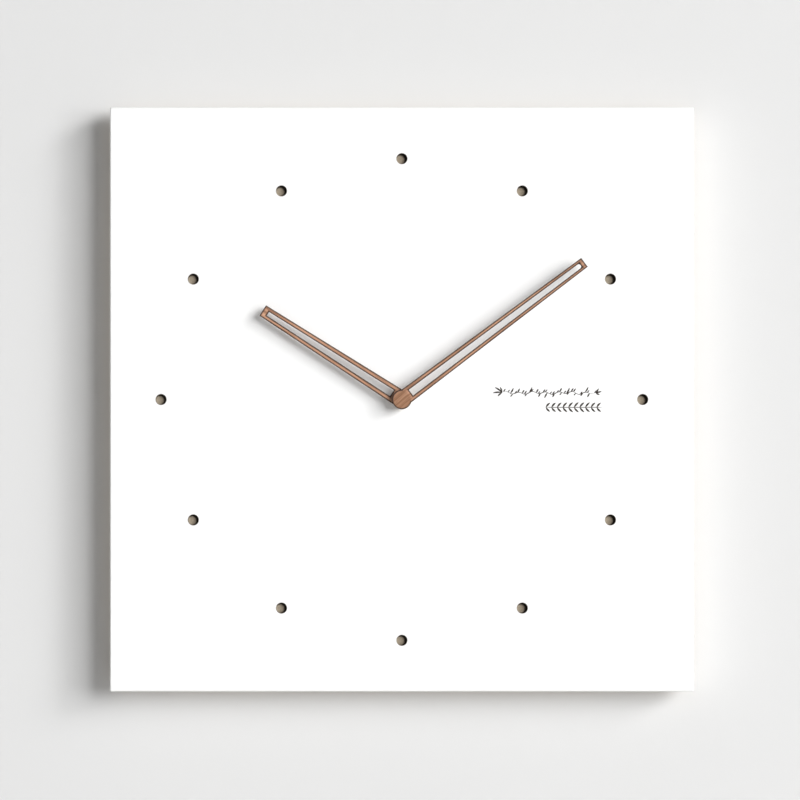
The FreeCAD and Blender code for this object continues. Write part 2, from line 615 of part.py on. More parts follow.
def seconds_wheel():
    wheel = gear(SECONDS_TEETH, TRAIN_MODULE, SECONDS_WHEEL_Y, ARBOR, 0.0)
    wheel = lightened(wheel, SECONDS_WHEEL_Y, ARBOR, 1.5, 4.4, 5)
    pinion = gear(SECONDS_PINION_TEETH, THIRD_MODULE, SECONDS_PINION_Y, ARBOR, SECONDS_PINION_PHASE)
    return joined(wheel, pinion, train_arbor(TRAIN_ARBOR_R, CENTRE_WHEEL_Y[1] + 0.25, ARBOR))


def intermediate_wheel():
    wheel = gear(INTERMEDIATE_TEETH, ROTOR_MODULE, INTERMEDIATE_WHEEL_Y, INTERMEDIATE_AT, 0.0)
    wheel = lightened(wheel, INTERMEDIATE_WHEEL_Y, INTERMEDIATE_AT, 1.1, 3.4, 5)
    pinion = gear(INTERMEDIATE_PINION_TEETH, TRAIN_MODULE, INTERMEDIATE_PINION_Y, INTERMEDIATE_AT,
                  INTERMEDIATE_PINION_PHASE)
    return joined(wheel, pinion, train_arbor(TRAIN_ARBOR_R - 0.1, TRAIN_FRONT_Y, INTERMEDIATE_AT))


def rotor_pinion():
    pinion = gear(ROTOR_TEETH, ROTOR_MODULE, ROTOR_PINION_Y, ROTOR_AT, ROTOR_PHASE)
    shaft = disc(TRAIN_ARBOR_R, TRAIN_FRONT_Y, MAGNET_Y[1], ROTOR_AT)
    pivots = disc(PIVOT_R, TRAIN_FRONT_Y - PIVOT_LENGTHS[0], COVER_Y + 0.4, ROTOR_AT)
    return joined(pinion, shaft, pivots)


def rotor_magnet():
    return ring(MAGNET_R, TRAIN_ARBOR_R, *MAGNET_Y, ROTOR_AT)


# ---------------------------------------------------------------- motor and circuit
def stator():
    left, right = POLE_X[0][0], POLE_X[1][1]
    bar = block(left, right, *STATOR_Y, ROTOR_AT[1] - STATOR_HALF, ROTOR_AT[1] + STATOR_HALF)
    arms = [block(*pole, *STATOR_Y, ROTOR_AT[1], COIL_Z + POLE_REACH) for pole in POLE_X]
    return joined(bar, *arms).cut(disc(STATOR_EYE_R, STATOR_Y[0] - PAST, STATOR_Y[1] + PAST, ROTOR_AT))


def coil_core():
    left, right = POLE_X[0][0], POLE_X[1][1]
    bar = block(left, right, COIL_Y - CORE_R, COIL_Y + CORE_R, COIL_Z - CORE_R, COIL_Z + CORE_R)
    posts = [block(*pole, COIL_Y - CORE_R, STATOR_Y[0], COIL_Z - POLE_REACH, COIL_Z + POLE_REACH)
             for pole in POLE_X]
    return joined(bar, *posts)


def coil_bobbin():
    left, right = COIL_X
    spool = joined(rod_x(BOBBIN_R, left, right, COIL_Y, COIL_Z),
                   rod_x(BOBBIN_FLANGE_R, left, left + BOBBIN_FLANGE, COIL_Y, COIL_Z),
                   rod_x(BOBBIN_FLANGE_R, right - BOBBIN_FLANGE, right, COIL_Y, COIL_Z))
    return spool.cut(rod_x(BOBBIN_BORE_R, left - PAST, right + PAST, COIL_Y, COIL_Z))


def coil_winding():
    left, right = COIL_X
    wound = rod_x(WINDING_R, left + BOBBIN_FLANGE, right - BOBBIN_FLANGE, COIL_Y, COIL_Z)
    return wound.cut(rod_x(BOBBIN_R, left, right, COIL_Y, COIL_Z))


def circuit_board():
    return block(*BOARD_X, *BOARD_Y, *BOARD_Z)


def chip_blob():
    top = BOARD_Y[1] + BLOB_T
    blob = disc(BLOB_R, BOARD_Y[1], top, BLOB_AT)
    return blob.makeFillet(BLOB_ROUND, [e for e in blob.Edges if e.BoundBox.YMin > top - NEAR])


def crystal_can():
    foot = Vector(CRYSTAL_AT[0], BOARD_Y[1] + CRYSTAL_R, CRYSTAL_AT[1])
    return Part.makeCylinder(CRYSTAL_R, CRYSTAL_LENGTH, foot, Vector(0, 0, 1))


def positive_contact():
    wall = CASE / 2 - CASE_WALL
    face = wall - CONTACT_T
    foot_z = (BOARD_Z[0], BOARD_Z[0] + CONTACT_FOOT)
    plate = block(face, wall, *CONTACT_Y, *CONTACT_Z)
    nub_end = BATTERY_LEFT + BATTERY_LENGTH + BATTERY_NUB
    dimple = rod_x(DIMPLE_R, nub_end, face, BATTERY_Y, BATTERY_Z)
    riser = block(face, wall, *RISER_Y, CONTACT_Z[1], foot_z[1])
    foot_riser = block(face, wall, RISER_Y[1], BOARD_Y[1] + CONTACT_T, *foot_z)
    foot = block(face - 1.8, face, BOARD_Y[1], BOARD_Y[1] + CONTACT_T, *foot_z)
    return joined(plate, dimple, riser, foot_riser, foot)


def negative_contact():
    wall = -CASE / 2 + CASE_WALL
    face = wall + CONTACT_T
    shelf = DIVIDER_Z + CASE_WALL
    plate = block(wall, face, *CONTACT_Y, *CONTACT_Z)
    riser = block(wall, face, *STRIP_Y, CONTACT_Z[1] - CONTACT_FOOT, shelf + CONTACT_T)
    long_strip = block(wall, STRIP_FOOT_X[1], *STRIP_Y, shelf, shelf + CONTACT_T)
    foot = block(*STRIP_FOOT_X, BOARD_Y[1], BOARD_Y[1] + CONTACT_T, shelf, BOARD_Z[0] + 1.5)
    leaf_path = [(wall + CONTACT_T / 2, CONTACT_Y[0] + 0.5), (BATTERY_LEFT - CONTACT_T / 2, BATTERY_Y),
                 (wall + CONTACT_T * 1.5, CONTACT_Y[1] - 0.5)]
    corners = [Vector(x, y, LEAF_Z[0]) for x, y in strip_outline(leaf_path, CONTACT_T)]
    outline = Part.makePolygon(corners + corners[:1])
    leaf = Part.Face(outline).extrude(Vector(0, 0, LEAF_Z[1] - LEAF_Z[0]))
    battery_room = block(BATTERY_LEFT, 0, *CONTACT_Y, *CONTACT_Z)
    return joined(plate, riser, long_strip, foot, leaf.cut(battery_room))


def battery_can():
    can = rod_x(BATTERY_R - BATTERY_SLEEVE_T, BATTERY_LEFT, BATTERY_LEFT + BATTERY_LENGTH,
                BATTERY_Y, BATTERY_Z)
    nub = rod_x(BATTERY_NUB_R, BATTERY_LEFT + BATTERY_LENGTH, BATTERY_LEFT + BATTERY_LENGTH + BATTERY_NUB,
                BATTERY_Y, BATTERY_Z)
    return joined(can, nub)


def battery_sleeve():
    outer = rod_x(BATTERY_R, BATTERY_LEFT, BATTERY_LEFT + BATTERY_LENGTH, BATTERY_Y, BATTERY_Z)
    return outer.cut(rod_x(BATTERY_R - BATTERY_SLEEVE_T, BATTERY_LEFT - PAST,
                           BATTERY_LEFT + BATTERY_LENGTH + PAST, BATTERY_Y, BATTERY_Z))


PIECES = [
    front_panel, backing_board, bumper_feet, wall_hanger, rubber_gasket, threaded_bushing,
    brass_washer, hex_nut, hour_hand, hour_hand_bush, minute_hand, minute_hand_bush,
    movement_case, movement_cover, middle_plate, minute_arbor, minute_wheel, hour_wheel,
    setting_gear, setting_knob, clutch_spring, centre_wheel, third_wheel, seconds_wheel,
    intermediate_wheel, rotor_pinion, rotor_magnet, stator, coil_core, coil_bobbin,
    coil_winding, circuit_board, chip_blob, crystal_can, positive_contact, negative_contact,
    battery_can, battery_sleeve,
]


def main():
    os.makedirs("parts", exist_ok=True)
    to_hanger_hole = Vector(0, -HANGER_TAB_Y, -NAIL_HOLE_Z)
    for piece in PIECES:
        shape = piece()
        shape.translate(to_hanger_hole)
        shape.exportStep(f"parts/{piece.__name__}.step")


main()
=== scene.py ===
"""A square white wall clock hanging on a pale wall, dressed around its CAD frame."""
import json
import math

import bmesh
import bpy
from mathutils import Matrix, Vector


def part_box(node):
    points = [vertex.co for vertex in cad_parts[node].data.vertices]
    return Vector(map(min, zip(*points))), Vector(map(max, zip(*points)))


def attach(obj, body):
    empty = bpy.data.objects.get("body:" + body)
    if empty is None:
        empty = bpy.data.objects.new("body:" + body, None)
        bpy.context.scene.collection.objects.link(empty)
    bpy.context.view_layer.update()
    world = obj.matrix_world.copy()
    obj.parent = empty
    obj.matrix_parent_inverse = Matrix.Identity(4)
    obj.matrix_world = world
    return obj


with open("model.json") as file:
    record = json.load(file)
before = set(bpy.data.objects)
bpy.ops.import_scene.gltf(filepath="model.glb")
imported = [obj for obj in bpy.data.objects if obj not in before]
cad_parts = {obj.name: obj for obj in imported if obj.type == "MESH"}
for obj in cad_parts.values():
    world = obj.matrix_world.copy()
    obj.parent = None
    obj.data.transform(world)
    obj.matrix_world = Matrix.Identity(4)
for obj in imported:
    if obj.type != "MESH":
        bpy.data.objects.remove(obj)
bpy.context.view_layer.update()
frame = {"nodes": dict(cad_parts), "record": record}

NODES = frame["nodes"]
MM = 0.001


# ------------------------------------------------------------ places read from the frame
def middle(node):
    low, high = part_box(node)
    return (low + high) / 2


ARBOR = middle("hex_nut")                       # the axis both hands turn on
PANEL_LOW, PANEL_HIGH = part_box("front_panel")
PANEL_MIDDLE = (PANEL_LOW + PANEL_HIGH) / 2
FACE_Y = PANEL_LOW.y                            # the white front face
WALL_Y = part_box("bumper_feet")[1].y             # the plane the feet rest on
COVER_REAR_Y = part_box("movement_cover")[1].y

PANEL_HALF = (PANEL_HIGH.x - PANEL_LOW.x) / 2
PANEL_THICKNESS = PANEL_HIGH.y - PANEL_LOW.y

# sizes the surfaces need, in metres
HOUR_MARKS = 12
MARK_CIRCLE_R = 123.7 * MM
MARK_R = 2.75 * MM
WINDOW_HALF = 31.0 * MM          # half the side of the backing board's window
HUB_R = 5.0 * MM
MINUTE_HALF_WIDTHS = (4.10 * MM, 2.80 * MM)     # at the hub and at the tip
HOUR_HALF_WIDTHS = (4.40 * MM, 3.15 * MM)
MINUTE_SLOT = (5.8 * MM, 114.4 * MM, 1.825 * MM, 1.20 * MM)     # start, end and two half widths
HOUR_SLOT = (6.0 * MM, 81.5 * MM, 1.85 * MM, 1.10 * MM)
RAW_DARK, RAW_LIGHT = (0.36, 0.295, 0.215), (0.52, 0.45, 0.35)  # bare fibreboard


# ------------------------------------------------------------ shader building
class Surface:
    """A material under construction, with short calls for the nodes it uses."""

    def __init__(self, name, **constants):
        self.material = bpy.data.materials.new(name)
        self.material.use_nodes = True
        self.tree = self.material.node_tree
        self.tree.nodes.clear()
        self.output = self.add("ShaderNodeOutputMaterial")
        self.shader = self.add("ShaderNodeBsdfPrincipled")
        self.join(self.shader.outputs[0], self.output.inputs["Surface"])
        for socket, value in constants.items():
            self.shader.inputs[socket.replace("_", " ")].default_value = value
        self.place = self.add("ShaderNodeTexCoord").outputs["Object"]

    def join(self, source, target):
        self.tree.links.new(source, target)

    def add(self, kind, inputs=(), **settings):
        node = self.tree.nodes.new(kind)
        for key, value in settings.items():
            setattr(node, key, value)
        for key, value in dict(inputs).items():
            if isinstance(value, bpy.types.NodeSocket):
                self.join(value, node.inputs[key])
            else:
                node.inputs[key].default_value = value
        return node

    def math(self, operation, *values, clamp=False):
        node = self.add("ShaderNodeMath", enumerate(values), operation=operation, use_clamp=clamp)
        return node.outputs[0]

    def vector(self, operation, *values):
        node = self.add("ShaderNodeVectorMath", enumerate(values), operation=operation)
        return node.outputs["Value" if operation in {"DOT_PRODUCT", "LENGTH"} else "Vector"]

    def split(self, vector):
        return self.add("ShaderNodeSeparateXYZ", {0: vector}).outputs

    def rise(self, value, start, end):
        """0 before start, 1 after end, smooth between; start may be the larger one."""
        backward = start > end
        node = self.add("ShaderNodeMapRange", interpolation_type="SMOOTHSTEP",
                        inputs={"Value": value, "From Min": min(start, end), "From Max": max(start, end),
                                "To Min": float(backward), "To Max": float(not backward)})
        return node.outputs["Result"]

    def spread(self, value, low, high):
        """Stretch 0..1 to a range."""
        node = self.add("ShaderNodeMapRange", inputs={"Value": value, "To Min": low, "To Max": high})
        return node.outputs["Result"]

    def noise(self, scale, detail=3.0, roughness=0.55, vector=None, stretch=None):
        source = self.place if vector is None else vector
        if stretch is not None:
            source = self.vector("MULTIPLY", source, stretch)
        node = self.add("ShaderNodeTexNoise",
                        {"Vector": source, "Scale": scale, "Detail": detail, "Roughness": roughness})
        return node.outputs["Fac"]

    def ramp(self, value, *stops):
        """Colours at positions along 0..1."""
        node = self.add("ShaderNodeValToRGB", {"Fac": value})
        elements = node.color_ramp.elements
        while len(elements) < len(stops):
            elements.new(0.5)
        for element, (position, colour) in zip(elements, stops):
            element.position = position
            element.color = (*colour, 1.0)
        return node.outputs["Color"]

    def mix(self, amount, first, second):
        node = self.add("ShaderNodeMix", data_type="RGBA")
        for index, value in ((0, amount), (6, first), (7, second)):
            if isinstance(value, bpy.types.NodeSocket):
                self.join(value, node.inputs[index])
            else:
                node.inputs[index].default_value = value if index == 0 else (*value, 1.0)
        return node.outputs[2]

    def bump(self, height, distance, strength=1.0, under=None):
        inputs = {"Height": height, "Distance": distance, "Strength": strength}
        if under is not None:
            inputs["Normal"] = under
        return self.add("ShaderNodeBump", inputs).outputs["Normal"]

    def finish(self, colour=None, roughness=None, normal=None):
        for socket, value in (("Base Color", colour), ("Roughness", roughness), ("Normal", normal)):
            if value is not None:
                self.join(value, self.shader.inputs[socket])
        return self.material


# ------------------------------------------------------------ masks shared by the boards
def from_face(s):
    """x and z measured from the arbor, and depth behind the panel's front face."""
    offset = s.vector("SUBTRACT", s.place, (ARBOR.x, FACE_Y, ARBOR.z))
    x, depth, z = s.split(offset)
    return x, depth, z


def distance_to_mark(s, x, z):
    """Distance from the axis of the nearest hour mark, by folding the dial into one sector."""
    half_sector = math.pi / HOUR_MARKS
    around = s.math("WRAP", s.math("ARCTAN2", z, x), half_sector, -half_sector)
    out = s.math("SQRT", s.math("ADD", s.math("MULTIPLY", x, x), s.math("MULTIPLY", z, z)))
    along = s.math("SUBTRACT", s.math("MULTIPLY", out, s.math("COSINE", around)), MARK_CIRCLE_R)
    across = s.math("MULTIPLY", out, s.math("SINE", around))
    squares = s.math("ADD", s.math("MULTIPLY", along, along), s.math("MULTIPLY", across, across))
    return s.math("SQRT", squares)


def edge_reach(s, x, z):
    """The larger of |x| and |z| from the panel's centre, which is PANEL_HALF at the outer edges."""
    return s.math("MAXIMUM", s.math("ABSOLUTE", x), s.math("ABSOLUTE", z))


# ------------------------------------------------------------ materials
def white_lacquer(name):
    """Sprayed white paint: faint orange peel, scorched rings and sooty walls at the hour marks."""
    s = Surface(name, IOR=1.48)
    x, depth, z = from_face(s)
    mark = distance_to_mark(s, x, z)
    cloud = s.noise(9.0, 2.0)
    fleck = s.noise(1500.0, 2.0)
    paint = s.mix(s.rise(cloud, 0.35, 0.65), (0.925, 0.925, 0.922), (0.94, 0.94, 0.938))
    paint = s.mix(s.rise(fleck, 0.74, 0.80), paint, (0.84, 0.83, 0.81))
    ragged = s.math("ADD", mark, s.math("MULTIPLY", s.noise(900.0, 3.0), 0.20 * MM))
    scorch = s.rise(ragged, MARK_R + 0.38 * MM, MARK_R + 0.10 * MM)
    paint = s.mix(s.math("MULTIPLY", scorch, 0.70), paint, (0.20, 0.14, 0.09))
    soot = s.mix(s.rise(s.noise(2600.0, 2.0, stretch=(1.0, 0.12, 1.0)), 0.35, 0.7),
                 (0.012, 0.009, 0.007), (0.040, 0.026, 0.018))
    in_hole = s.rise(mark, MARK_R + 0.12 * MM, MARK_R + 0.05 * MM)
    below_rim = s.rise(depth, 0.10 * MM, 0.35 * MM)
    burnt = s.math("MULTIPLY", in_hole, below_rim)
    colour = s.mix(burnt, paint, soot)
    at_rear = s.rise(depth, PANEL_THICKNESS - 0.10 * MM, PANEL_THICKNESS - 0.03 * MM)
    inside_edges = s.rise(edge_reach(s, x, z), PANEL_HALF - 0.2 * MM, PANEL_HALF - 0.5 * MM)
    unpainted = s.math("MULTIPLY", at_rear, inside_edges)
    colour = s.mix(unpainted, colour, s.mix(fleck, RAW_DARK, RAW_LIGHT))
    peel = s.noise(420.0, 2.0, 0.5)
    fine = s.noise(2400.0, 2.0)
    normal = s.bump(peel, 0.03 * MM, 0.35)
    normal = s.bump(fine, 0.006 * MM, 0.5, normal)
    gloss = s.spread(s.noise(60.0, 3.0), 0.30, 0.42)
    rough = s.math("ADD", gloss, s.math("MULTIPLY", burnt, 0.5), clamp=True)
    return s.finish(colour, rough, normal)


def raw_board(name):
    """Raw fibreboard: pale fine fibres, painted outer edges, char where it was cut, and a dark fume ring
    with a painted rim shadow on the hour-mark floors.
    """
    s = Surface(name, IOR=1.40, Specular_IOR_Level=0.25)
    x, depth, z = from_face(s)
    fibre = s.noise(1400.0, 4.0, 0.7)
    clump = s.noise(260.0, 3.0, 0.6)
    broad = s.noise(22.0, 3.0)
    colour = s.ramp(fibre, (0.30, RAW_DARK), (0.52, (0.47, 0.400, 0.305)), (0.72, (0.57, 0.500, 0.395)))
    colour = s.mix(s.math("MULTIPLY", s.rise(clump, 0.45, 0.75), 0.35), colour, (0.36, 0.28, 0.20))
    colour = s.mix(s.math("MULTIPLY", broad, 0.25), colour, (0.50, 0.42, 0.32))
    # A dark fume ring on the hour-mark floors. Its centre is set toward the lower left, so the dark
    # reaches further in on the upper right; that part is a painted shadow of the rim.
    smoke_and_shadow_reach = distance_to_mark(s, s.math("ADD", x, 0.80 * MM), s.math("ADD", z, 0.45 * MM))
    smoke_and_shadow_reach = s.math("ADD", smoke_and_shadow_reach, s.math("MULTIPLY", s.noise(800.0, 3.0), 0.5 * MM))
    near_front = s.rise(depth, PANEL_THICKNESS + 1.0 * MM, PANEL_THICKNESS + 0.2 * MM)
    fume_ring_and_rim_shadow = s.math("MULTIPLY", s.rise(smoke_and_shadow_reach, MARK_R - 0.9 * MM, MARK_R + 0.2 * MM), near_front)
    colour = s.mix(s.math("MULTIPLY", fume_ring_and_rim_shadow, 0.96), colour, (0.020, 0.014, 0.010))
    reach = edge_reach(s, x, z)
    drift = s.math("MULTIPLY", s.noise(1100.0, 3.0, stretch=(1.0, 0.15, 1.0)), 0.5 * MM)
    char = s.rise(s.math("ADD", reach, drift), WINDOW_HALF + 1.1 * MM, WINDOW_HALF + 0.2 * MM)
    colour = s.mix(char, colour, (0.055, 0.034, 0.022))
    overspray = s.math("ADD", reach, s.math("MULTIPLY", s.noise(240.0, 5.0, 0.75), 7.0 * MM))
    misted = s.math("MULTIPLY", s.rise(overspray, PANEL_HALF + 1.5 * MM, PANEL_HALF + 5.5 * MM), 0.55)
    painted = s.math("MAXIMUM", misted, s.rise(reach, PANEL_HALF - 0.9 * MM, PANEL_HALF - 0.5 * MM))
    colour = s.mix(painted, colour, (0.82, 0.82, 0.81))
    normal = s.bump(fibre, 0.05 * MM, 0.8)
    normal = s.bump(clump, 0.05 * MM, 0.4, normal)
    rough = s.spread(s.math("SUBTRACT", 1.0, painted), 0.5, 0.9)
    return s.finish(colour, rough, normal)


def depth_from_front(s, depth, node):
    """How far behind the hand's own front face a point lies."""
    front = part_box(node)[0].y - ARBOR.y
    return s.math("SUBTRACT", depth, front)


def tip_of(node):
    """The vector from the arbor to the middle of a hand's tip, and its length."""
    flat = [Vector((v.co.x - ARBOR.x, 0.0, v.co.z - ARBOR.z)) for v in NODES[node].data.vertices]
    reach = max(p.length for p in flat)
    corners = {(round(p.x, 6), round(p.z, 6)) for p in flat if p.length > reach - 0.05 * MM}
    tip = sum((Vector((x, 0.0, z)) for x, z in corners), Vector()) / len(corners)
    return tip, tip.length


def walnut(name, node, half_widths, slot):
    """Walnut with its grain along the hand, burnt bands beside every cut and painted shade at the hub.

    The outline follows the hand's own: a round hub, straight sides from there to the tip, and
    a slot given by its start, its end and its half widths. In it u runs from the arbor along
    the hand, v across it and depth into it.
    """
    tip, length = tip_of(node)
    along = tip / length
    across = Vector((-along.z, 0.0, along.x))
    slot_start, slot_end, slot_near, slot_far = slot
    s = Surface(name, IOR=1.45, Specular_IOR_Level=0.35)
    offset = s.vector("SUBTRACT", s.place, tuple(ARBOR))
    u = s.vector("DOT_PRODUCT", offset, tuple(along))
    v = s.vector("DOT_PRODUCT", offset, tuple(across))
    depth = s.split(offset)[1]
    grain_place = s.add("ShaderNodeCombineXYZ", {0: u, 1: v, 2: depth}).outputs[0]
    waver = s.noise(55.0, 2.0, vector=grain_place)
    bent = s.add("ShaderNodeCombineXYZ", {
        0: s.math("MULTIPLY", u, 22.0),
        1: s.math("ADD", s.math("MULTIPLY", v, 620.0), s.math("MULTIPLY", waver, 1.6)),
        2: s.math("MULTIPLY", depth, 420.0)}).outputs[0]
    figure = s.noise(1.0, 4.0, 0.6, vector=bent)
    pores = s.noise(1.0, 2.0, 0.5, vector=s.vector("MULTIPLY", bent, (5.0, 4.2, 4.2)))
    wood = s.ramp(figure, (0.32, (0.200, 0.096, 0.054)), (0.48, (0.480, 0.252, 0.152)),
                  (0.64, (0.660, 0.375, 0.240)))
    wood = s.mix(s.math("MULTIPLY", s.rise(pores, 0.60, 0.70), 0.6), wood, (0.10, 0.045, 0.022))
    side = s.math("ABSOLUTE", v)
    root = HUB_R / 2
    run = s.math("DIVIDE", s.math("SUBTRACT", u, root), length - root)
    outline = s.spread(run, *half_widths)
    slot_run = s.math("DIVIDE", s.math("SUBTRACT", u, slot_start), slot_end - slot_start)
    slot_outline = s.spread(slot_run, slot_near, slot_far)
    wander = s.math("MULTIPLY", s.math("SUBTRACT", s.noise(700.0, 3.0), 0.5), 0.22 * MM)
    from_side = s.math("SUBTRACT", outline, side)
    past_slot = s.math("MAXIMUM", s.math("SUBTRACT", u, slot_end), s.math("SUBTRACT", slot_start, u))
    from_slot = s.math("MAXIMUM", s.math("SUBTRACT", side, slot_outline), past_slot)
    from_ends = s.math("MINIMUM", s.math("SUBTRACT", length, u), s.math("SUBTRACT", u, root))
    out = s.vector("LENGTH", s.add("ShaderNodeCombineXYZ", {0: u, 1: v}).outputs[0])
    from_frame = s.math("MINIMUM", from_side, from_ends)
    from_outline = s.math("MAXIMUM", s.math("SUBTRACT", HUB_R, out), from_frame)
    nearest = s.math("ADD", s.math("MINIMUM", from_outline, from_slot), wander)
    # Painted shade: darker at and just past the hub. On the hour hand it stands for the minute hand's
    # hub shading it, and the minute hand's own hub gets the same darkening.
    hub_shade = s.math("MULTIPLY", s.rise(out, HUB_R + 0.6 * MM, HUB_R - 1.2 * MM), 0.50)
    colour = s.mix(hub_shade, wood, (0.160, 0.070, 0.026))
    haze = s.math("MULTIPLY", s.rise(nearest, 1.10 * MM, 0.55 * MM), 0.30)
    band = s.math("MULTIPLY", s.rise(nearest, 0.78 * MM, 0.40 * MM), 0.95)
    colour = s.mix(haze, colour, (0.150, 0.068, 0.042))
    colour = s.mix(band, colour, (0.045, 0.024, 0.017))
    colour = s.mix(s.rise(nearest, 0.12 * MM, 0.0), colour, (0.018, 0.011, 0.009))
    below_face = s.rise(depth_from_front(s, depth, node), 0.12 * MM, 0.30 * MM)
    on_cut = s.math("MULTIPLY", below_face, s.rise(nearest, 0.35 * MM, 0.15 * MM))
    colour = s.mix(on_cut, colour, (0.034, 0.020, 0.014))
    normal = s.bump(pores, 0.03 * MM, 0.7)
    normal = s.bump(figure, 0.02 * MM, 0.5, normal)
    rough = s.spread(figure, 0.42, 0.58)
    return s.finish(colour, rough, normal)


def moulded(name, dark, light, rough=(0.42, 0.6), grain=3200.0, depth=0.02):
    """Moulded plastic with a fine spark-eroded texture."""
    s = Surface(name, IOR=1.50, Specular_IOR_Level=0.5)
    fine = s.noise(grain, 2.0, 0.6)
    flow = s.noise(40.0, 2.0)
    colour = s.mix(s.rise(flow, 0.3, 0.7), dark, light)
    bright = tuple(min(1.0, c * 1.6 + 0.01) for c in light)
    colour = s.mix(s.math("MULTIPLY", s.rise(fine, 0.60, 0.75), 0.25), colour, bright)
    normal = s.bump(fine, depth * MM, 0.6)
    return s.finish(colour, s.spread(s.noise(130.0, 3.0), *rough), normal)


def rubber(name, tone):
    """Matt black rubber with a little pale dust."""
    s = Surface(name, IOR=1.52, Specular_IOR_Level=0.3, Sheen_Weight=0.15, Sheen_Roughness=0.5)
    skin = s.noise(1800.0, 3.0)
    dust = s.noise(75.0, 4.0, 0.7)
    dusty = (tone * 2.6, tone * 2.5, tone * 2.4)
    colour = s.mix(s.rise(dust, 0.50, 0.78), (tone, tone, tone * 1.02), dusty)
    return s.finish(colour, s.spread(skin, 0.62, 0.85), s.bump(skin, 0.03 * MM, 0.7))


def metal(name, colour, worn, rough, streak, along=(1.0, 0.06, 1.0)):
    """Sheet or turned metal with faint drawn streaks and a duller, patchy skin."""
    s = Surface(name, Metallic=1.0, IOR=1.5)
    lines = s.noise(streak, 3.0, 0.6, stretch=along)
    patch = s.noise(120.0, 4.0, 0.6)
    tint = s.mix(s.rise(patch, 0.35, 0.70), colour, worn)
    tint = s.mix(s.math("MULTIPLY", s.rise(lines, 0.45, 0.65), 0.35), tint, worn)
    return s.finish(tint, s.spread(lines, rough - 0.09, rough + 0.09), s.bump(lines, 0.006 * MM, 0.5))


def spangled_zinc(name):
    """Zinc-plated strip: bluish grey with soft crystal patches."""
    s = Surface(name, Metallic=1.0, IOR=1.5)
    cell = s.add("ShaderNodeTexVoronoi", {"Vector": s.place, "Scale": 650.0, "Randomness": 1.0})
    tone = s.ramp(cell.outputs["Color"], (0.2, (0.70, 0.71, 0.72)), (0.8, (0.82, 0.83, 0.84)))
    smear = s.noise(180.0, 4.0)
    tone = s.mix(s.math("MULTIPLY", s.rise(smear, 0.5, 0.75), 0.5), tone, (0.60, 0.60, 0.59))
    return s.finish(tone, s.spread(smear, 0.34, 0.50), s.bump(smear, 0.01 * MM, 0.5))


def wound_copper(name):
    """Fine enamelled wire in close turns around the coil's own axis."""
    wire_pitch = 0.16 * MM
    s = Surface(name, Metallic=1.0, IOR=1.5, Coat_Weight=0.4, Coat_Roughness=0.2)
    x = s.split(s.place)[0]
    turns = s.math("SINE", s.math("MULTIPLY", x, 2 * math.pi / wire_pitch))
    colour = s.mix(s.rise(turns, -0.6, 0.8), (0.30, 0.085, 0.030), (0.80, 0.36, 0.17))
    uneven = s.noise(300.0, 3.0)
    colour = s.mix(s.math("MULTIPLY", uneven, 0.4), colour, (0.60, 0.24, 0.10))
    return s.finish(colour, s.spread(uneven, 0.25, 0.4), s.bump(turns, 0.03 * MM, 0.8))


def circuit_laminate(name):
    """Green solder mask over tracks that show as faint lighter lines."""
    s = Surface(name, IOR=1.55, Coat_Weight=0.5, Coat_Roughness=0.12)
    weave = s.add("ShaderNodeTexBrick", {"Vector": s.place, "Scale": 260.0, "Mortar Size": 0.03})
    tracks = s.rise(weave.outputs["Fac"], 0.4, 0.6)
    colour = s.mix(tracks, (0.022, 0.130, 0.055), (0.050, 0.240, 0.100))
    speck = s.noise(700.0, 3.0)
    colour = s.mix(s.math("MULTIPLY", speck, 0.25), colour, (0.03, 0.10, 0.05))
    return s.finish(colour, s.spread(speck, 0.25, 0.4), s.bump(tracks, 0.02 * MM, 0.6))


def battery_wrap(name):
    """A plain shrink sleeve: blue-grey body and a pale band at the positive end."""
    low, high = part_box("battery_sleeve")
    s = Surface(name, IOR=1.50, Coat_Weight=0.6, Coat_Roughness=0.08)
    x = s.split(s.place)[0]
    run = s.math("DIVIDE", s.math("SUBTRACT", x, low.x), high.x - low.x)
    band = s.rise(run, 0.795, 0.800)
    line = s.math("MULTIPLY", s.rise(run, 0.765, 0.768), s.rise(run, 0.780, 0.777))
    print_grain = s.noise(1600.0, 2.0)
    body = s.mix(print_grain, (0.030, 0.085, 0.170), (0.040, 0.105, 0.205))
    pale = s.mix(print_grain, (0.60, 0.61, 0.62), (0.68, 0.69, 0.70))
    colour = s.mix(s.math("MAXIMUM", band, line), body, pale)
    wrinkle = s.noise(90.0, 3.0, stretch=(1.0, 4.0, 4.0))
    normal = s.bump(wrinkle, 0.05 * MM, 0.35)
    return s.finish(colour, s.spread(s.noise(400.0, 2.0), 0.22, 0.34), normal)


def dark_magnet(name):
    """Sintered magnet: dark grey and gritty."""
    s = Surface(name, Metallic=0.6, IOR=1.6)
    grit = s.noise(2600.0, 4.0, 0.7)
    colour = s.mix(grit, (0.055, 0.055, 0.060), (0.16, 0.16, 0.17))
    return s.finish(colour, s.spread(grit, 0.4, 0.65), s.bump(grit, 0.02 * MM, 0.8))


def potting_resin(name):
    """The glossy black drop of resin over the chip."""
    s = Surface(name, IOR=1.55, Coat_Weight=0.3, Coat_Roughness=0.1)
    swirl = s.noise(500.0, 3.0)
    colour = s.mix(swirl, (0.008, 0.008, 0.009), (0.022, 0.022, 0.024))
    return s.finish(colour, s.spread(swirl, 0.18, 0.32), s.bump(swirl, 0.03 * MM, 0.5))


def ink(name):
    """Screen-printed dark brown-grey ink with slightly thin, broken coverage."""
    s = Surface(name, IOR=1.45, Specular_IOR_Level=0.3)
    thin = s.noise(1300.0, 3.0, 0.6)
    colour = s.mix(s.rise(thin, 0.35, 0.75), (0.030, 0.024, 0.020), (0.090, 0.074, 0.064))
    return s.finish(colour, s.spread(thin, 0.5, 0.7), s.bump(thin, 0.004 * MM, 0.5))


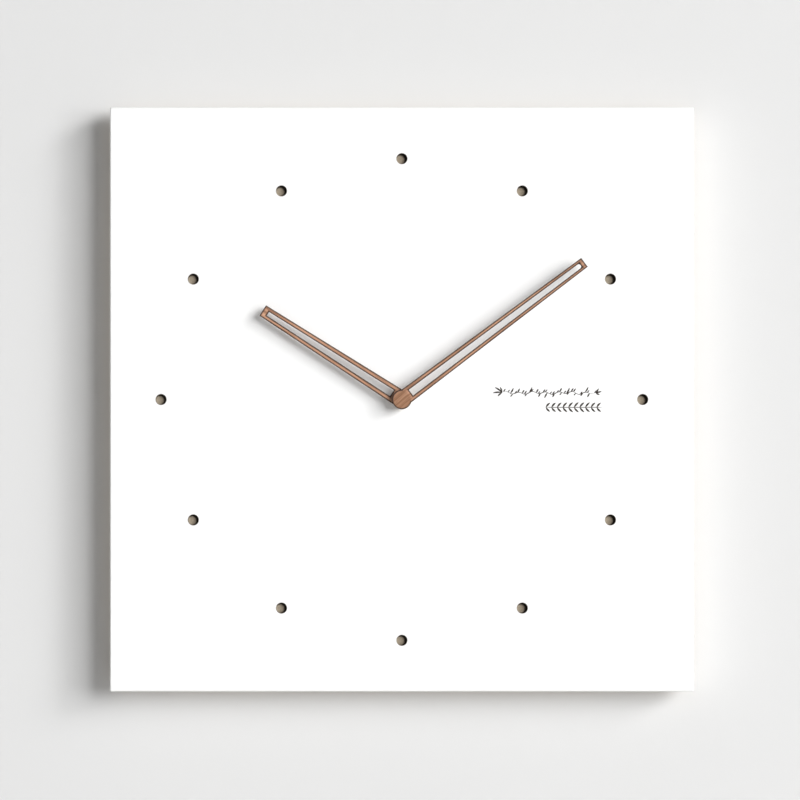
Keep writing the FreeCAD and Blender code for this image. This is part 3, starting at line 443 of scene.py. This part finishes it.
def label_paper(name):
    """Plain off-white label stock."""
    s = Surface(name, IOR=1.45, Specular_IOR_Level=0.25)
    fibre = s.noise(2200.0, 4.0, 0.7)
    tone = s.mix(fibre, (0.66, 0.66, 0.64), (0.78, 0.78, 0.76))
    return s.finish(tone, s.spread(fibre, 0.5, 0.65), s.bump(fibre, 0.01 * MM, 0.6))


def slot_materials():
    """One material for each of the record's slots, except the walnut, which is made per hand."""
    acetal = (0.80, 0.79, 0.74), (0.88, 0.87, 0.83)
    return {
        "white_lacquer": white_lacquer("white_lacquer"),
        "raw_board": raw_board("raw_board"),
        "foot_rubber": rubber("foot_rubber", 0.030),
        "gasket_rubber": rubber("gasket_rubber", 0.045),
        "plated_steel": spangled_zinc("plated_steel"),
        "brass": metal("brass", (0.74, 0.55, 0.25), (0.58, 0.41, 0.18), 0.30, 900.0),
        "black_plastic": moulded("black_plastic", (0.022, 0.022, 0.024), (0.034, 0.034, 0.036)),
        "knob_plastic": moulded("knob_plastic", (0.085, 0.085, 0.090), (0.120, 0.120, 0.126)),
        "natural_acetal": moulded("natural_acetal", *acetal, (0.30, 0.42), 2000.0, 0.008),
        "plate_plastic": moulded("plate_plastic", (0.66, 0.65, 0.60), (0.74, 0.73, 0.68), (0.4, 0.55)),
        "magnet": dark_magnet("magnet"),
        "soft_iron": metal("soft_iron", (0.50, 0.49, 0.47), (0.36, 0.34, 0.32), 0.38, 1200.0,
                           along=(0.05, 1.0, 1.0)),
        "copper_wire": wound_copper("copper_wire"),
        "board_laminate": circuit_laminate("board_laminate"),
        "black_resin": potting_resin("black_resin"),
        "bright_can": metal("bright_can", (0.78, 0.78, 0.78), (0.62, 0.62, 0.61), 0.18, 1500.0),
        "nickel_spring": metal("nickel_spring", (0.72, 0.70, 0.64), (0.52, 0.50, 0.45), 0.26, 1400.0),
        "battery_metal": metal("battery_metal", (0.74, 0.74, 0.73), (0.56, 0.56, 0.55), 0.24, 1000.0),
        "battery_sleeve": battery_wrap("battery_sleeve"),
    }


# ------------------------------------------------------------ dressing the CAD nodes
SMOOTH_BELOW = 32                # degrees between faces that are shaded as one surface
EASE_ABOVE = 40                  # degrees between faces whose edge is eased
SOFTENED = {                     # nodes with eased edges, and how wide the ease is
    "hour_hand": 0.10 * MM, "minute_hand": 0.10 * MM, "movement_case": 0.25 * MM,
    "movement_cover": 0.15 * MM, "setting_knob": 0.10 * MM, "wall_hanger": 0.10 * MM,
    "hex_nut": 0.12 * MM, "backing_board": 0.25 * MM, "battery_can": 0.25 * MM,
    "front_panel": 0.15 * MM,
}


def smooth_by_angle(mesh):
    for polygon in mesh.polygons:
        polygon.use_smooth = True
    mesh.set_sharp_from_angle(angle=math.radians(SMOOTH_BELOW))


def ease_edges(piece, width):
    """Join the faces at their seams, merge each flat's triangles, then round the sharp edges."""
    seams = piece.modifiers.new("joined_seams", "WELD")
    seams.merge_threshold = 0.002 * MM
    flats = piece.modifiers.new("whole_flats", "DECIMATE")
    flats.decimate_type = "DISSOLVE"
    flats.angle_limit = math.radians(0.5)
    bevel = piece.modifiers.new("eased_edges", "BEVEL")
    bevel.width = width
    bevel.segments = 2
    bevel.limit_method = "ANGLE"
    bevel.angle_limit = math.radians(EASE_ABOVE)
    bevel.use_clamp_overlap = False
    shading = piece.modifiers.new("flat_shading", "WEIGHTED_NORMAL")
    shading.mode = "FACE_AREA"
    shading.weight = 100
    shading.keep_sharp = False


def dress(node, material):
    piece = NODES[node]
    piece.data.materials.clear()
    piece.data.materials.append(material)
    smooth_by_angle(piece.data)
    if node in SOFTENED:
        ease_edges(piece, SOFTENED[node])


def dress_all():
    materials = slot_materials()
    for part in frame["record"]["subparts"]:
        if part["material_slot"] in materials:
            dress(part["node"], materials[part["material_slot"]])
    dress("minute_hand", walnut("walnut_minute_hand", "minute_hand", MINUTE_HALF_WIDTHS, MINUTE_SLOT))
    dress("hour_hand", walnut("walnut_hour_hand", "hour_hand", HOUR_HALF_WIDTHS, HOUR_SLOT))
    return materials


# ------------------------------------------------------------ added pieces
def new_piece(name, mesh, material, body="clock_body"):
    piece = bpy.data.objects.new(name, mesh)
    bpy.context.scene.collection.objects.link(piece)
    mesh.materials.append(material)
    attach(piece, body)
    return piece


INK_LIFT = 0.02 * MM             # how far the print stands off the panel's face
NIB_SLANT = math.radians(60)


def ribbon(bm, path, widths, lift):
    """A flat pen stroke in the plane y = lift: a run of quads as wide as the pen at each point."""
    rails = []
    for index, (x, z) in enumerate(path):
        before = path[max(index - 1, 0)]
        after = path[min(index + 1, len(path) - 1)]
        heading = math.atan2(after[1] - before[1], after[0] - before[0])
        half = widths[index] / 2
        side = (-math.sin(heading) * half, math.cos(heading) * half)
        rails.append([bm.verts.new((x + side[0], lift, z + side[1])),
                      bm.verts.new((x - side[0], lift, z - side[1]))])
    for (a, b), (c, d) in zip(rails, rails[1:]):
        bm.faces.new((a, b, d, c))


def pen_stroke(bm, point_at, steps, thin, thick, lift):
    """A broad-nib stroke along a formula: thick across the nib's slant, thin along it, ends tapered."""
    path = [point_at(step / steps) for step in range(steps + 1)]
    widths = []
    for index in range(steps + 1):
        before = path[max(index - 1, 0)]
        after = path[min(index + 1, steps)]
        heading = math.atan2(after[1] - before[1], after[0] - before[0])
        taper = min(1.0, 12.0 * index / steps, 12.0 * (steps - index) / steps)
        spread = abs(math.sin(heading - NIB_SLANT + math.pi / 2))
        widths.append((thin + (thick - thin) * spread) * max(taper, 0.15))
    ribbon(bm, path, widths, lift)


def drawn_leaf(bm, foot, angle, length, width, lift, bend=0.0):
    """One pen-drawn leaf: a stroke that swells from a point and closes to a point again."""
    steps = 12
    path = []
    x, z = foot
    for step in range(steps + 1):
        path.append((x, z))
        heading = angle + bend * (step / steps - 0.5)
        x += length / steps * math.cos(heading)
        z += length / steps * math.sin(heading)
    widths = [0.12 * MM + width * math.sin(math.pi * step / steps) ** 0.8 for step in range(steps + 1)]
    ribbon(bm, path, widths, lift)


def mesh_from(name, bm):
    mesh = bpy.data.meshes.new(name)
    bm.to_mesh(mesh)
    bm.free()
    return mesh


def vine(material):
    """A wavering stem with slanted leaves and a tuft at each end, standing in for a printed line."""
    first, last, level = ARBOR.x + 51.5 * MM, ARBOR.x + 99.5 * MM, ARBOR.z + 3.4 * MM
    lift = FACE_Y - INK_LIFT
    bm = bmesh.new()

    def stem(t):
        quick = 0.55 * MM * math.sin(2 * math.pi * 7.0 * t)
        slow = 0.25 * MM * math.sin(2 * math.pi * 3.0 * t + 1.0)
        return first + (last - first) * t, level + (quick + slow)

    pen_stroke(bm, stem, 260, 0.24 * MM, 0.50 * MM, lift)
    left_tuft = ((112, 3.0), (146, 4.6), (184, 4.9), (222, 3.0))     # degrees and length in mm
    right_tuft = ((52, 2.6), (12, 3.1), (-30, 2.4))
    for foot, fan in ((stem(0.0), left_tuft), (stem(1.0), right_tuft)):
        for degrees, length in fan:
            drawn_leaf(bm, foot, math.radians(degrees), length * MM, 0.72 * MM, lift - INK_LIFT / 4, 0.4)
    leaves = 40
    for index in range(leaves):
        sway = math.sin(2.4 * index)
        if math.sin(1.03 * index + 0.4) > 0.93:
            continue
        foot = stem((index + 0.5) / leaves)
        rising = index % 3 != 1
        length = (1.95 + 0.45 * sway + (0.9 if index % 8 == 3 else 0.0)) * MM
        angle = math.radians(54 + 8 * sway) if rising else math.radians(234 + 8 * sway)
        drawn_leaf(bm, foot, angle, length, (0.58 + 0.12 * sway) * MM, lift - INK_LIFT / 8, 0.5 * sway)
    new_piece("vine", mesh_from("vine", bm), material)


def leaf_sprig(material):
    """A straight stem with close paired leaves, under the vine's right half."""
    first, last, level = ARBOR.x + 73.6 * MM, ARBOR.x + 103.0 * MM, ARBOR.z - 4.0 * MM
    lift = FACE_Y - INK_LIFT
    bm = bmesh.new()
    pen_stroke(bm, lambda t: (first + (last - first) * t, level), 30, 0.34 * MM, 0.42 * MM, lift)
    pairs = 10
    for index in range(pairs):
        foot = first + (last - first) * (index + 0.15) / (pairs + 0.15)
        length = (3.45 - 0.07 * abs(index - 5)) * MM
        for side in (-1.0, 1.0):
            drawn_leaf(bm, (foot, level), math.radians(46) * side, length, 0.86 * MM,
                       lift - INK_LIFT / 8, -0.55 * side)
    new_piece("leaf_sprig", mesh_from("leaf_sprig", bm), material)


def prism(name, near, far):
    """A closed solid between two matching outlines of 3-D points."""
    bm = bmesh.new()
    start = [bm.verts.new(point) for point in near]
    end = [bm.verts.new(point) for point in far]
    bm.faces.new(start)
    bm.faces.new(end[::-1])
    for index in range(len(start)):
        after = (index + 1) % len(start)
        bm.faces.new((start[index], end[index], end[after], start[after]))
    bmesh.ops.recalc_face_normals(bm, faces=bm.faces)
    return mesh_from(name, bm)


def outline_plate(name, outline, y_front, y_rear):
    """A thin plate from a closed outline of (x, z) points."""
    return prism(name, [(x, y_front, z) for x, z in outline], [(x, y_rear, z) for x, z in outline])


def rounded_rectangle(x, z, width, height, radius, steps=6):
    outline = []
    corners = ((1, 1, 0), (-1, 1, 90), (-1, -1, 180), (1, -1, 270))
    for side_x, side_z, first in corners:
        for step in range(steps + 1):
            angle = math.radians(first + 90 * step / steps)
            outline.append((x + side_x * (width / 2 - radius) + radius * math.cos(angle),
                            z + side_z * (height / 2 - radius) + radius * math.sin(angle)))
    return outline


def ring_plate(name, outer, inner, y_front, y_rear):
    """A thin raised ring between two closed outlines with the same number of points."""
    bm = bmesh.new()
    loops = [[bm.verts.new((x, y, z)) for x, z in outline]
             for y in (y_front, y_rear) for outline in (outer, inner)]
    front_outer, front_inner, rear_outer, rear_inner = loops
    pairs = ((front_outer, front_inner), (rear_outer, rear_inner),
             (front_outer, rear_outer), (front_inner, rear_inner))
    for index in range(len(outer)):
        after = (index + 1) % len(outer)
        for a, b in pairs:
            bm.faces.new((a[index], a[after], b[after], b[index]))
    bmesh.ops.recalc_face_normals(bm, faces=bm.faces)
    return mesh_from(name, bm)


MOULDING_Y = (COVER_REAR_Y - 0.05 * MM, COVER_REAR_Y + 0.25 * MM)    # let in, and standing proud
MOULDING_EASE = 0.07 * MM


def moulding(name, mesh, material):
    piece = new_piece(name, mesh, material)
    smooth_by_angle(mesh)
    ease_edges(piece, MOULDING_EASE)


def raised_plate(name, outline, material):
    moulding(name, outline_plate(name, outline, *MOULDING_Y), material)


def raised_ring(name, outer, inner, material):
    moulding(name, ring_plate(name, outer, inner, *MOULDING_Y), material)


def circle(x, z, radius, steps=48):
    turns = [2 * math.pi * step / steps for step in range(steps)]
    return [(x + radius * math.cos(a), z + radius * math.sin(a)) for a in turns]


def setting_arrow(material):
    """A raised double-ended arc around the setting knob, as such covers carry."""
    centre = middle("setting_knob")
    inner, outer, steps = 9.6 * MM, 10.5 * MM, 24
    middle_r, barb, point = 0.5 * (inner + outer), 1.3 * MM, 0.22
    first, last = math.radians(-75), math.radians(15)
    sweep = [first + (last - first) * step / steps for step in range(steps + 1)]
    arc = [(outer, a) for a in sweep]
    arc += [(middle_r + barb, last), (middle_r, last + point), (middle_r - barb, last)]
    arc += [(inner, a) for a in reversed(sweep)]
    arc += [(middle_r - barb, first), (middle_r, first - point), (middle_r + barb, first)]
    outline = [(centre.x + r * math.cos(a), centre.z + r * math.sin(a)) for r, a in arc]
    raised_plate("setting_arrow", outline, material)


def cover_mouldings(material):
    """The raised rim, ribs, rings and polarity marks on the movement's rear cover."""
    low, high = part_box("movement_cover")
    x, z = (low.x + high.x) / 2, (low.z + high.z) / 2
    width, height = high.x - low.x, high.z - low.z
    raised_ring("cover_rim", rounded_rectangle(x, z, width - 1.4 * MM, height - 1.4 * MM, 1.5 * MM),
                rounded_rectangle(x, z, width - 3.2 * MM, height - 3.2 * MM, 0.8 * MM), material)
    hub = ARBOR.x, ARBOR.z
    raised_ring("arbor_ring", circle(*hub, 5.6 * MM), circle(*hub, 4.9 * MM), material)
    raised_plate("arbor_dome", circle(*hub, 1.5 * MM, 32), material)
    for index in range(7):
        rib_x, rib_z = ARBOR.x + (6.0 + 2.6 * index) * MM, ARBOR.z + 16.5 * MM
        rib = rounded_rectangle(rib_x, rib_z, 1.0 * MM, 11.0 * MM, 0.48 * MM)
        raised_plate("cover_rib_%d" % (index + 1), rib, material)
    for index, (pin_x, pin_z) in enumerate(((-23.0, 2.0), (-6.5, 24.5), (12.5, 4.5))):
        at = ARBOR.x + pin_x * MM, ARBOR.z + pin_z * MM
        outer, inner = circle(*at, 1.30 * MM, 32), circle(*at, 1.02 * MM, 32)
        raised_ring("pin_mark_%d" % (index + 1), outer, inner, material)
    mark_z = low.z + 2.7 * MM
    arm, half = 1.25 * MM, 0.24 * MM
    plus_x, minus_x = high.x - 3.6 * MM, low.x + 3.6 * MM
    cross = [(half, half), (arm, half), (arm, -half), (half, -half), (half, -arm), (-half, -arm),
             (-half, -half), (-arm, -half), (-arm, half), (-half, half), (-half, arm), (half, arm)]
    raised_plate("polarity_plus", [(plus_x + a, mark_z + b) for a, b in cross], material)
    bar = rounded_rectangle(minus_x, mark_z, 2 * arm, 2 * half, 0.2 * MM)
    raised_plate("polarity_minus", bar, material)


def snap_hooks(material):
    """The four sprung tongues that hold the cover, standing proud of the case's side walls."""
    low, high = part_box("movement_case")
    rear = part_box("movement_cover")[0].y - 0.6 * MM
    half_width = 2.6
    profile = ((-0.1, -5.2), (0.1, -5.2), (0.75, -4.0), (0.75, -1.2), (0.35, 0.0), (-0.1, 0.0))
    for side, wall in ((-1, low.x), (1, high.x)):
        for step, z in enumerate((-4.0, 18.0)):
            name = "snap_hook_%s_%d" % ("left" if side < 0 else "right", step + 1)
            ends = [[(wall + side * a * MM, rear + b * MM, ARBOR.z + (z + end) * MM) for a, b in profile]
                    for end in (-half_width, half_width)]
            moulding(name, prism(name, *ends), material)


def blank_label():
    """The paper label on the cover, left blank."""
    low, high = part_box("movement_cover")
    outline = rounded_rectangle(high.x - 12.0 * MM, low.z + 9.4 * MM, 17.0 * MM, 8.5 * MM, 1.0 * MM)
    mesh = outline_plate("blank_label", outline, COVER_REAR_Y - 0.01 * MM, COVER_REAR_Y + 0.09 * MM)
    new_piece("blank_label", mesh, label_paper("label_paper"))


# ------------------------------------------------------------ wall, floor, lights and camera
def one_way(name, tone_low, tone_high, grain, depth):
    """Plain matt paint that shadow rays and the far side see straight through."""
    s = Surface(name, Specular_IOR_Level=0.2)
    stipple = s.noise(grain, 3.0, 0.6)
    broad = s.noise(3.0, 2.0)
    colour = s.mix(broad, tone_low, tone_high)
    s.finish(colour, s.spread(stipple, 0.75, 0.9), s.bump(stipple, depth * MM, 0.5))
    clear = s.add("ShaderNodeBsdfTransparent")
    from_behind = s.add("ShaderNodeNewGeometry").outputs["Backfacing"]
    shadow_ray = s.add("ShaderNodeLightPath").outputs["Is Shadow Ray"]
    through = s.math("MAXIMUM", from_behind, shadow_ray)
    choice = s.add("ShaderNodeMixShader", {0: through, 1: s.shader.outputs[0], 2: clear.outputs[0]})
    s.join(choice.outputs[0], s.output.inputs["Surface"])
    return s.material


def staged_plane(name, corners, material):
    mesh = bpy.data.meshes.new(name)
    mesh.from_pydata([tuple(c) for c in corners], [], [(0, 1, 2, 3)])
    mesh.materials.append(material)
    plane = bpy.data.objects.new(name, mesh)
    bpy.context.scene.collection.objects.link(plane)


WALL_GAP = 0.1 * MM              # keeps the wall clear of the feet
FLOOR_DROP = 1.3                 # floor below the panel's middle
ROOM = 4.0


def build_room():
    wall_y = WALL_Y + WALL_GAP
    floor_z = PANEL_MIDDLE.z - FLOOR_DROP
    wall_paint = one_way("wall_paint", (0.706, 0.706, 0.704), (0.721, 0.721, 0.719), 700.0, 0.05)
    floor_paint = one_way("floor_paint", (0.56, 0.555, 0.545), (0.585, 0.58, 0.57), 300.0, 0.1)
    staged_plane("wall", [(-ROOM, wall_y, floor_z), (ROOM, wall_y, floor_z),
                          (ROOM, wall_y, floor_z + ROOM), (-ROOM, wall_y, floor_z + ROOM)], wall_paint)
    staged_plane("floor", [(-ROOM, -ROOM, floor_z), (ROOM, -ROOM, floor_z),
                           (ROOM, wall_y, floor_z), (-ROOM, wall_y, floor_z)], floor_paint)


def soft_light(name, direction, distance, width, height, power):
    """An oval of light that faces the clock from a direction."""
    data = bpy.data.lights.new(name, "AREA")
    data.shape = "ELLIPSE"
    data.size = width
    data.size_y = height
    data.energy = power
    lamp = bpy.data.objects.new(name, data)
    lamp.location = PANEL_MIDDLE + Vector(direction).normalized() * distance
    lamp.rotation_mode = "QUATERNION"
    lamp.rotation_quaternion = (PANEL_MIDDLE - lamp.location).to_track_quat("-Z", "Y")
    lamp.visible_camera = False
    bpy.context.scene.collection.objects.link(lamp)


def build_lights():
    soft_light("key", (0.60, -1.0, 0.24), 9.0, 3.0, 5.1, 382.0)
    soft_light("side_key", (1.20, -1.0, 0.30), 12.0, 4.5, 8.4, 776.0)
    soft_light("side_tail", (1.70, -1.0, 0.80), 12.0, 3.9, 3.9, 428.0)
    soft_light("front_fill", (0.0, -1.0, -0.05), 5.0, 0.6, 0.6, 15.0)
    soft_light("rear_key", (0.7, 1.0, 0.8), 1.8, 1.2, 1.2, 20.0)
    soft_light("rear_fill", (-0.9, 1.0, 0.2), 1.8, 1.2, 1.2, 8.0)
    world = bpy.data.worlds.new("studio")
    world.use_nodes = True
    tree = world.node_tree
    seen = tree.nodes.new("ShaderNodeBackground")               # the pale backdrop past the wall
    seen.inputs["Color"].default_value = (0.84, 0.84, 0.84, 1.0)
    fill = tree.nodes["Background"]
    fill.inputs["Color"].default_value = (0.98, 0.99, 1.0, 1.0)
    fill.inputs["Strength"].default_value = 0.094
    rays = tree.nodes.new("ShaderNodeLightPath")
    choice = tree.nodes.new("ShaderNodeMixShader")
    tree.links.new(rays.outputs["Is Camera Ray"], choice.inputs[0])
    tree.links.new(fill.outputs[0], choice.inputs[1])
    tree.links.new(seen.outputs[0], choice.inputs[2])
    tree.links.new(choice.outputs[0], tree.nodes["World Output"].inputs["Surface"])
    bpy.context.scene.world = world


CAMERA_DISTANCE = 2.0
FRAME_WIDTH = 0.4109             # what the picture spans at the panel's face
SENSOR = 36.0
CAMERA_SHIFT_X = -0.95 * MM      # the panel isn't quite in the middle of the picture
CAMERA_SHIFT_Z = -0.26 * MM


def build_camera():
    data = bpy.data.cameras.new("camera")
    data.sensor_width = SENSOR
    data.lens = SENSOR * CAMERA_DISTANCE / FRAME_WIDTH
    camera = bpy.data.objects.new("camera", data)
    x, z = PANEL_MIDDLE.x + CAMERA_SHIFT_X, PANEL_MIDDLE.z + CAMERA_SHIFT_Z
    camera.location = (x, FACE_Y - CAMERA_DISTANCE, z)
    camera.rotation_euler = (math.radians(90), 0.0, 0.0)
    data.clip_start = 0.1
    data.clip_end = 50.0
    bpy.context.scene.collection.objects.link(camera)
    bpy.context.scene.camera = camera


def build():
    bpy.context.scene.view_settings.view_transform = "Standard"
    materials = dress_all()
    printed = ink("printed_ink")
    vine(printed)
    leaf_sprig(printed)
    setting_arrow(materials["black_plastic"])
    cover_mouldings(materials["black_plastic"])
    snap_hooks(materials["black_plastic"])
    blank_label()
    build_room()
    build_lights()
    build_camera()


build()
